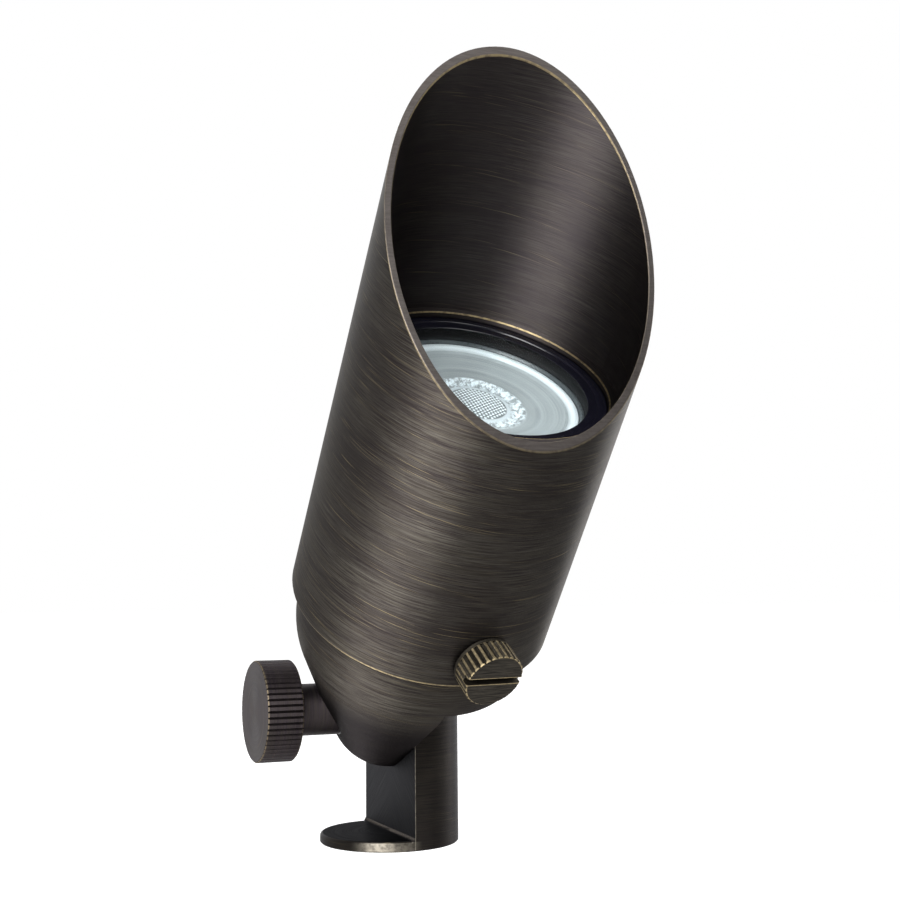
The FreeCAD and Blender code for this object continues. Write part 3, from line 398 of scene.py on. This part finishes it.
# The lock screw, in the frame of its slot: the tips of its ridges, the face's rim and the slot's two lips.
screwLook = dict(
    bronzeLook, dark=(0.024, 0.021, 0.018), light=(0.060, 0.053, 0.041), flecks=0.3, stretch=0.3, relief=0.5,
    milledLow=(0.020, 0.0175, 0.015), milledHigh=(0.075, 0.066, 0.053),
    tipRadius=(0.00762, 0.00768), tipHeight=(0.0361, 0.0363), tipShare=0.45,
    rimBand=(0.0075, 0.0001, 0.0002), rimHeight=(0.0418, 0.0420), rimShare=0.8,
    lipBand=(0.00098, 0.00006, 0.00008), lipHeight=(0.0421, 0.04218),
    faceHeight=(0.0419, 0.04195),
)


def screwEdges(tree, x, y, z, radius):
    tips = times(tree, fade(tree, radius, *screwLook["tipRadius"]), fade(tree, z, *screwLook["tipHeight"]))
    rimShare = times(tree, band(tree, radius, *screwLook["rimBand"]), screwLook["rimShare"])
    rim = times(tree, fade(tree, z, *screwLook["rimHeight"]), rimShare)
    lip = times(tree, fade(tree, z, *screwLook["lipHeight"]),
                band(tree, maths(tree, "ABSOLUTE", y), *screwLook["lipBand"]))
    return larger(tree, times(tree, tips, screwLook["tipShare"]), larger(tree, rim, lip))


def screwFace(tree, x, y, z, radius):
    return fade(tree, z, *screwLook["faceHeight"])


finishes["screwBronze"] = bronze("screwBronze", screwPlace, screwLook, screwEdges, screwFace)
print("finishes ready:", len(finishes))


# Clear lens: what is behind it shows, with a sheen at low angles and a ground edge outside the lamp.
lensLook = {
    "gloss": {"Roughness": 0.04, "IOR": 1.5, "Metallic": 1.0}, "sheenIndex": 1.4,
    "tintScale": 60.0, "tintLow": (0.93, 0.96, 0.965), "tintHigh": (0.965, 0.98, 0.985),
    "groundScale": 900.0, "groundLow": (0.035, 0.038, 0.040), "groundHigh": (0.06, 0.065, 0.066),
    "groundFade": (0.0257, 0.0260, 0.0, 0.55),
}


def lensGlass():
    material, tree, shader = newMaterial("lensGlass", lensLook["gloss"])
    turned, x, y, z, radius = pieceFrame(tree, headPlace)
    tint = mixColour(tree, grain(tree, turned, lensLook["tintScale"]), lensLook["tintLow"], lensLook["tintHigh"])
    clear = addNode(tree, "ShaderNodeBsdfTransparent", {"Color": tint})
    matt = addNode(tree, "ShaderNodeBsdfDiffuse", {"Color": mixColour(
        tree, grain(tree, turned, lensLook["groundScale"]), lensLook["groundLow"], lensLook["groundHigh"])})
    outside = fade(tree, radius, *lensLook["groundFade"])
    body = addNode(tree, "ShaderNodeMixShader", {0: outside, 1: clear.outputs[0], 2: matt.outputs[0]})
    plug(tree, tint, shader.inputs["Base Color"])
    front = maths(tree, "SUBTRACT", 1.0, addNode(tree, "ShaderNodeNewGeometry", {}).outputs["Backfacing"])
    fresnel = addNode(tree, "ShaderNodeFresnel", {"IOR": lensLook["sheenIndex"]}).outputs[0]
    blend = addNode(tree, "ShaderNodeMixShader", {
        0: times(tree, fresnel, front), 1: body.outputs[0], 2: shader.outputs[0]})
    tree.links.new(blend.outputs[0], tree.nodes["Material Output"].inputs["Surface"])
    return material


finishes["lensGlass"] = lensGlass()


# How the pieces on the head's axis are turned.
turning = {"steps": 128, "mergeGap": 0.001, "millimetre": 0.001, "sharpAngle": math.radians(35.0)}


# Spins a profile of (radius, level) in millimetres: a closed ring, or a solid whose ends lie on the axis.
def spinProfile(build, profile, ring):
    chain = [build.verts.new((radius, 0.0, level)) for radius, level in profile]
    following = chain[1:] + (chain[:1] if ring else [])
    edges = [build.edges.new(pair) for pair in zip(chain, following)]
    bmesh.ops.spin(build, geom=chain + edges, cent=(0, 0, 0), axis=(0, 0, 1), angle=2 * math.pi,
                   steps=turning["steps"], use_merge=True)
    if not ring:
        bmesh.ops.remove_doubles(build, verts=build.verts, dist=turning["mergeGap"])
    bmesh.ops.recalc_face_normals(build, faces=build.faces)


# From millimetres about the axis to metres at a level on the head.
def placeOnHead(build, level):
    bmesh.ops.scale(build, vec=(turning["millimetre"],) * 3, verts=build.verts)
    bmesh.ops.transform(build, matrix=headPlace @ Matrix.Translation((0, 0, level)), verts=build.verts)


def addPiece(name, build, materials):
    mesh = bpy.data.meshes.new(name)
    build.to_mesh(mesh)
    build.free()
    for finish in materials:
        mesh.materials.append(finishes[finish])
    mesh.shade_smooth()
    mesh.set_sharp_from_angle(angle=turning["sharpAngle"])
    piece = bpy.data.objects.new(name, mesh)
    bpy.context.scene.collection.objects.link(piece)
    return piece


def turnedRing(name, look, finish):
    build = bmesh.new()
    spinProfile(build, look["profile"], ring=True)
    placeOnHead(build, look["level"])
    return addPiece(name, build, [finish])


# Moulded lamp face: a white rim, fine rings, a frosted dish with a toothed step, and small lenslets on the middle.
lampFace = {
    "level": 0.1017,
    "profile": (
        (0.0, -2.62), (4.4, -2.62), (4.5, -3.45), (11.9, -3.45), (12.0, -2.6), (24.5, -2.6), (24.9, -2.2),
        (24.9, -0.45), (24.75, 0.3), (24.4, 0.5), (23.4, 0.5), (23.0, 0.3), (22.6, -0.35), (22.3, -0.45),
        (22.1, -0.3), (21.9, -0.48), (21.7, -0.36), (21.45, -0.55), (20.9, -0.65), (18.0, -1.3), (15.0, -1.95),
        (12.6, -2.4), (12.0, -2.2), (11.3, -2.5), (10.6, -3.1), (10.0, -3.2), (9.4, -3.2), (8.8, -2.95),
        (8.0, -2.8), (7.0, -2.65), (5.4, -2.45), (3.6, -2.31), (1.8, -2.23), (0.0, -2.2)),
    "teeth": (9.1, 11.9), "toothRise": 0.4, "toothShares": (-0.2, 0.5), "backLevel": -3.3,  # teeth on the front only
    "lensletPitch": 1.05, "rowShare": 0.866, "rowShift": 0.5,  # rows, in shares of the pitch
    "lensletReach": 7.0, "lensletTurn": math.radians(33.0),
    "lensletSides": 6, "lensletRadius": 0.47, "lensletTop": 0.26, "lensletRise": 0.34,
    "domeRadius": 8.6, "domeDrop": 0.7, "domeTop": -2.2,
}
# Its frosting, from the middle out: the gaps between the lenslets, a painted highlight ring, the moat with painted
# glints on its facets, and the rim.
frostLook = {
    "coat": {"IOR": 1.45, "Coat Weight": 0.15, "Coat Roughness": 0.15},
    "shade": (0.31, 0.33, 0.335), "white": (0.45, 0.475, 0.48),
    "gap": (0.22, 0.24, 0.245), "gapFade": (0.0071, 0.0074, 1.0, 0.0),
    "paintedGlint": (0.90, 0.96, 1.0), "glintBand": (0.0081, 0.0005, 0.0005), "glintShare": 0.6,
    "moat": (0.30, 0.32, 0.325), "moatBand": (0.0103, 0.0013, 0.0010), "moatShare": 0.85,
    "rim": (0.80, 0.84, 0.86), "rimFade": (0.0222, 0.0231),
    "rings": (1.0, 3.0), "ringFineness": 700.0, "ringFade": (0.3, 0.7),
    "broad": (120.0, 3.0), "broadFade": (0.35, 0.65, 0.0, 0.35),
    "facetGlints": (1.0, 4.0, 0.7), "facetRays": 7.0, "facetFade": (0.42, 0.56),
    "roughFade": (0.2, 0.8, 0.26, 0.40), "relief": 0.25, "bumpHeight": 0.0001,
}
# The clear lenslets.
lensletLook = {
    "coat": {"IOR": 1.45, "Coat Weight": 0.3, "Coat Roughness": 0.08},
    "low": (0.80, 0.84, 0.86), "high": (0.90, 0.93, 0.95), "grainScale": 900.0,
    "roughScale": 2500.0, "roughFade": (0.2, 0.8, 0.15, 0.3),
}


def lampFrost():
    material, tree, shader = newMaterial("lampFrost", frostLook["coat"])
    turned, x, y, z, radius = pieceFrame(tree, headPlace)
    outward = times(tree, radius, frostLook["ringFineness"])
    rings = grain(tree, joined(tree, outward), *frostLook["rings"])
    broad = grain(tree, turned, *frostLook["broad"])
    shade = mixColour(tree, fade(tree, rings, *frostLook["ringFade"]), frostLook["shade"], frostLook["white"])
    shade = mixColour(tree, fade(tree, broad, *frostLook["broadFade"]), shade, frostLook["white"])
    ray = times(tree, maths(tree, "ARCTAN2", y, x), frostLook["facetRays"])
    facetGlints = grain(tree, joined(tree, ray, outward), *frostLook["facetGlints"])
    # Painted highlight: a bright ring on the dome, and painted glints on the moat's facets.
    inGlintRing = times(tree, band(tree, radius, *frostLook["glintBand"]), frostLook["glintShare"])
    shade = mixColour(tree, inGlintRing, shade, frostLook["paintedGlint"])
    inMoat = times(tree, band(tree, radius, *frostLook["moatBand"]), frostLook["moatShare"])
    moat = mixColour(tree, fade(tree, facetGlints, *frostLook["facetFade"]), frostLook["moat"], frostLook["paintedGlint"])
    shade = mixColour(tree, inMoat, shade, moat)
    shade = mixColour(tree, fade(tree, radius, *frostLook["gapFade"]), shade, frostLook["gap"])
    shade = mixColour(tree, fade(tree, radius, *frostLook["rimFade"]), shade, frostLook["rim"])
    plug(tree, shade, shader.inputs["Base Color"])
    plug(tree, fade(tree, rings, *frostLook["roughFade"]), shader.inputs["Roughness"])
    addBump(tree, shader, frostLook["relief"], frostLook["bumpHeight"], rings)
    return material


def lampLenslet():
    material, tree, shader = newMaterial("lampLenslet", lensletLook["coat"])
    turned = pieceFrame(tree, headPlace)[0]
    colour = mixColour(tree, grain(tree, turned, lensletLook["grainScale"]), lensletLook["low"], lensletLook["high"])
    plug(tree, colour, shader.inputs["Base Color"])
    rough = fade(tree, grain(tree, turned, lensletLook["roughScale"]), *lensletLook["roughFade"])
    plug(tree, rough, shader.inputs["Roughness"])
    return material


finishes["lampFrost"] = lampFrost()
finishes["lampLenslet"] = lampLenslet()


# The toothed step: every other point of the turned mesh up, the ones between a little down.
def raiseTeeth(build):
    low, high = lampFace["teeth"]
    for vert in build.verts:
        radius = math.hypot(vert.co.x, vert.co.y)
        if low < radius < high and vert.co.z > lampFace["backLevel"]:
            step = round(math.atan2(vert.co.y, vert.co.x) / (2 * math.pi) * turning["steps"])
            vert.co.z += lampFace["toothRise"] * lampFace["toothShares"][step % 2]


# A hexagonal field of small lenslets standing on the dome.
def addLenslets(build):
    pitch = lampFace["lensletPitch"]
    rowPitch = pitch * lampFace["rowShare"]
    crown = (lampFace["domeRadius"] ** 2 + lampFace["domeDrop"] ** 2) / (2 * lampFace["domeDrop"])
    rows = int(lampFace["lensletReach"] / rowPitch) + 1
    turn = Matrix.Rotation(lampFace["lensletTurn"], 3, "Z")
    for row in range(-rows, rows + 1):
        for column in range(-rows - 1, rows + 2):
            shift = lampFace["rowShift"] * (row % 2)
            spot = turn @ Vector(((column + shift) * pitch, row * rowPitch, 0.0))
            away = math.hypot(spot.x, spot.y)
            if away > lampFace["lensletReach"]:
                continue
            spot.z = lampFace["domeTop"] - crown + math.sqrt(crown ** 2 - away ** 2)
            made = bmesh.ops.create_cone(
                build, cap_ends=True, segments=lampFace["lensletSides"], radius1=lampFace["lensletRadius"],
                radius2=lampFace["lensletTop"], depth=lampFace["lensletRise"], matrix=Matrix.Translation(spot))
            for face in {face for vert in made["verts"] for face in vert.link_faces}:
                face.material_index = 1


def makeLampFace():
    build = bmesh.new()
    spinProfile(build, lampFace["profile"], ring=False)
    raiseTeeth(build)
    addLenslets(build)
    placeOnHead(build, lampFace["level"])
    return addPiece("lamp_face", build, ["lampFrost", "lampLenslet"])


# Smoky grey skirt round the lamp's rim.
lampSkirt = {
    "level": 0.1017,
    "profile": ((24.95, -1.6), (25.8, -1.6), (26.1, -1.2), (26.1, 0.85), (25.9, 1.05), (25.4, 1.0), (24.95, 0.4)),
    "low": (0.055, 0.062, 0.065), "high": (0.10, 0.11, 0.115), "rough": 0.3, "relief": 0.1,
}
# Moulded lens seal: two lips over the lens, with a round bead on the upper one.
lensSeal = {
    "level": 0.1019,
    "profile": (
        (26.6, 0.0), (30.2, 0.0), (30.6, 0.4), (30.6, 4.7), (30.4, 4.95), (29.5, 5.0), (29.1, 5.0),
        (28.6, 4.98), (28.3, 4.82), (28.1, 4.55), (27.6, 4.45), (26.6, 4.42), (26.1, 4.35), (25.9, 4.18),
        (26.1, 4.05), (29.35, 4.02), (29.4, 3.98), (29.4, 1.02), (29.35, 0.98), (26.6, 0.98)),
    "low": (0.0022, 0.0022, 0.0035), "high": (0.0045, 0.0045, 0.0095), "rough": 0.2, "relief": 0.0,
    "speckScale": 300.0,
}
finishes["lampSkirt"] = plainFinish("lampSkirt", lampSkirt)
finishes["lensSeal"] = plainFinish("lensSeal", lensSeal)

lampPiece = makeLampFace()
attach(lampPiece, "head")
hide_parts("lamp_optic")
skirtPiece = turnedRing("lamp_skirt", lampSkirt, "lampSkirt")
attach(skirtPiece, "head")
sealPiece = turnedRing("lens_seal", lensSeal, "lensSeal")
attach(sealPiece, "lens_pack")
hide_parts("lens_gasket")
faceCount = sum(len(piece.data.polygons) for piece in (lampPiece, skirtPiece, sealPiece))
print("lamp face, skirt and seal:", faceCount, "faces")

dressing = {
    "base_knuckle": "footBronze", "knuckle_knob": "knobBronze", "knuckle_washer": "screwSteel",
    "knuckle_seal": "sealRubber", "rear_housing": "housingBronze", "housing_seal_rear": "sealRubber",
    "housing_seal_front": "sealRubber", "shroud": "shroudBronze", "shroud_screw": "screwBronze",
    "lens_glass": "lensGlass", "lens_gasket": "gasketRubber", "lamp_optic": "lampFrost",
    "lamp_shell": "lampWhite", "led_board": "boardWhite", "led_emitter": "phosphor", "lamp_base": "lampWhite",
    "lamp_pins": "contactBrass", "lamp_socket": "ceramic", "socket_contacts": "contactBrass",
    "socket_bracket": "screwSteel", "socket_screws": "screwSteel", "bracket_screws": "screwSteel",
    "socket_leads": "leadJacket", "lead_grommet": "sealRubber",
}
for nodeName, finishName in dressing.items():
    mesh = nodes[nodeName].data
    mesh.materials.clear()
    mesh.materials.append(finishes[finishName])
print("nodes dressed:", len(dressing))


# Camera where the photograph was taken from.
view = {
    "place": (-0.13752, -0.35949, 0.0676), "azimuth": math.radians(23.569), "elevation": math.radians(6.125),
    "roll": math.radians(-0.439), "lens": 53.992, "sensor": 36.0, "clipStart": 0.01,
}


def addCamera():
    ahead = Vector((math.sin(view["azimuth"]) * math.cos(view["elevation"]),
                    math.cos(view["azimuth"]) * math.cos(view["elevation"]), math.sin(view["elevation"])))
    side = Vector((math.cos(view["azimuth"]), -math.sin(view["azimuth"]), 0))
    level = side.cross(ahead)
    right = side * math.cos(view["roll"]) + level * math.sin(view["roll"])
    up = level * math.cos(view["roll"]) - side * math.sin(view["roll"])
    data = bpy.data.cameras.new("photoCamera")
    data.lens = view["lens"]
    data.sensor_width = view["sensor"]
    data.clip_start = view["clipStart"]
    camera = bpy.data.objects.new("photoCamera", data)
    turn = Matrix((right, up, -ahead)).transposed().to_4x4()
    camera.matrix_world = Matrix.Translation(view["place"]) @ turn
    bpy.context.scene.collection.objects.link(camera)
    bpy.context.scene.camera = camera
    return right, up, ahead


right, up, ahead = addCamera()


# Soft boxes, placed from the camera's side: (right, up, towards the camera) from the middle of the object.
softBoxes = {
    "keyBox": {"way": (-0.40, 0.28, 0.88), "distance": 0.9, "size": (0.36, 0.9), "power": 11.5},
    "fillBox": {"way": (-0.06, 0.30, 0.95), "distance": 0.9, "size": (0.25, 0.9), "power": 8.0},
    "edgeBox": {"way": (0.75, 0.2, -0.6), "distance": 0.9, "size": (0.2, 0.9), "power": 2.0},
    "topBox": {"way": (0.6, 0.9, 0.2), "distance": 0.9, "size": (0.7, 0.5), "power": 5.6},
}
# The room round them. Its fades run from the camera's left to its right, and from its side to the backdrop.
studio = {
    "middle": (0, -0.04, 0.10), "white": (1.0, 1.0, 1.0),
    "backdrop": 1.0, "leftRoom": 0.70, "rightRoom": 0.10, "ambient": 0.35,
    "sideFade": (-0.5, 0.5), "backFade": (0.2, 0.8),
    "floor": (0.75, 0.75, 0.75), "floorDim": (0.30, 0.30, 0.30), "floorGlow": 0.76,
    "floorSize": 6.0, "floorCells": 8,
    "skyReach": 1.0, "floorReach": 0.4,  # what the fades are multiplied by: unit vectors, and metres on the floor
}


def addLights():
    for name, box in softBoxes.items():
        data = bpy.data.lights.new(name, "AREA")
        data.shape = "RECTANGLE"
        data.size, data.size_y = box["size"]
        data.energy = box["power"]
        way = (right * box["way"][0] + up * box["way"][1] - ahead * box["way"][2]).normalized()
        light = bpy.data.objects.new(name, data)
        light.location = Vector(studio["middle"]) + way * box["distance"]
        light.rotation_euler = way.to_track_quat("Z", "Y").to_euler()
        bpy.context.scene.collection.objects.link(light)


addLights()


# How bright the studio shows: white behind the object, a dimmer room on the camera's side, darker to its right.
# The second share is 1 for rays that see it, and 0 for the light that it gives the object.
def studioLevel(tree, way, reach):
    side = vectorMaths(tree, "DOT_PRODUCT", way, right).outputs["Value"]
    behind = vectorMaths(tree, "DOT_PRODUCT", way, ahead).outputs["Value"]
    leftEnd, rightEnd = (end * reach for end in studio["sideFade"])
    nearEnd, farEnd = (end * reach for end in studio["backFade"])
    room = fade(tree, side, leftEnd, rightEnd, studio["leftRoom"], studio["rightRoom"])
    metal = fade(tree, behind, nearEnd, farEnd, room, studio["backdrop"])
    path = addNode(tree, "ShaderNodeLightPath", {}).outputs
    seen = larger(tree, path["Is Camera Ray"], path["Is Transmission Ray"])
    shown = larger(tree, seen, times(tree, path["Is Glossy Ray"], metal))
    return shown, larger(tree, seen, path["Is Glossy Ray"])


def addWorld():
    world = bpy.data.worlds.new("studio")
    world.use_nodes = True
    tree = world.node_tree
    way = addNode(tree, "ShaderNodeTexCoord", {}).outputs["Generated"]
    shown, seen = studioLevel(tree, way, studio["skyReach"])
    ambient = fade(tree, seen, 0.0, 1.0, studio["ambient"], 0.0)
    backdrop = tree.nodes["Background"]
    plug(tree, studio["white"], backdrop.inputs["Color"])
    plug(tree, add(tree, shown, ambient), backdrop.inputs["Strength"])
    bpy.context.scene.world = world


addWorld()


def addFloor():
    mesh = bpy.data.meshes.new("paleFloor")
    build = bmesh.new()
    bmesh.ops.create_grid(build, x_segments=studio["floorCells"], y_segments=studio["floorCells"],
                          size=studio["floorSize"])
    build.to_mesh(mesh)
    build.free()
    floor = bpy.data.objects.new("paleFloor", mesh)
    bpy.context.scene.collection.objects.link(floor)
    material = bpy.data.materials.new("paleFloor")
    material.use_nodes = True
    tree = material.node_tree
    tree.nodes.remove(tree.nodes["Principled BSDF"])
    spot = addNode(tree, "ShaderNodeNewGeometry", {}).outputs["Position"]
    shown, seen = studioLevel(tree, spot, studio["floorReach"])
    dimmed = maths(tree, "SUBTRACT", seen, shown)
    matte = addNode(tree, "ShaderNodeBsdfDiffuse", {
        "Color": mixColour(tree, dimmed, studio["floor"], studio["floorDim"])})
    glow = addNode(tree, "ShaderNodeEmission", {
        "Color": studio["white"], "Strength": times(tree, shown, studio["floorGlow"])})
    both = addNode(tree, "ShaderNodeAddShader", {0: matte.outputs[0], 1: glow.outputs[0]})
    tree.links.new(both.outputs[0], tree.nodes["Material Output"].inputs["Surface"])
    mesh.materials.append(material)


addFloor()
bpy.context.scene.view_settings.view_transform = "Standard"
print("camera, lights and floor ready")
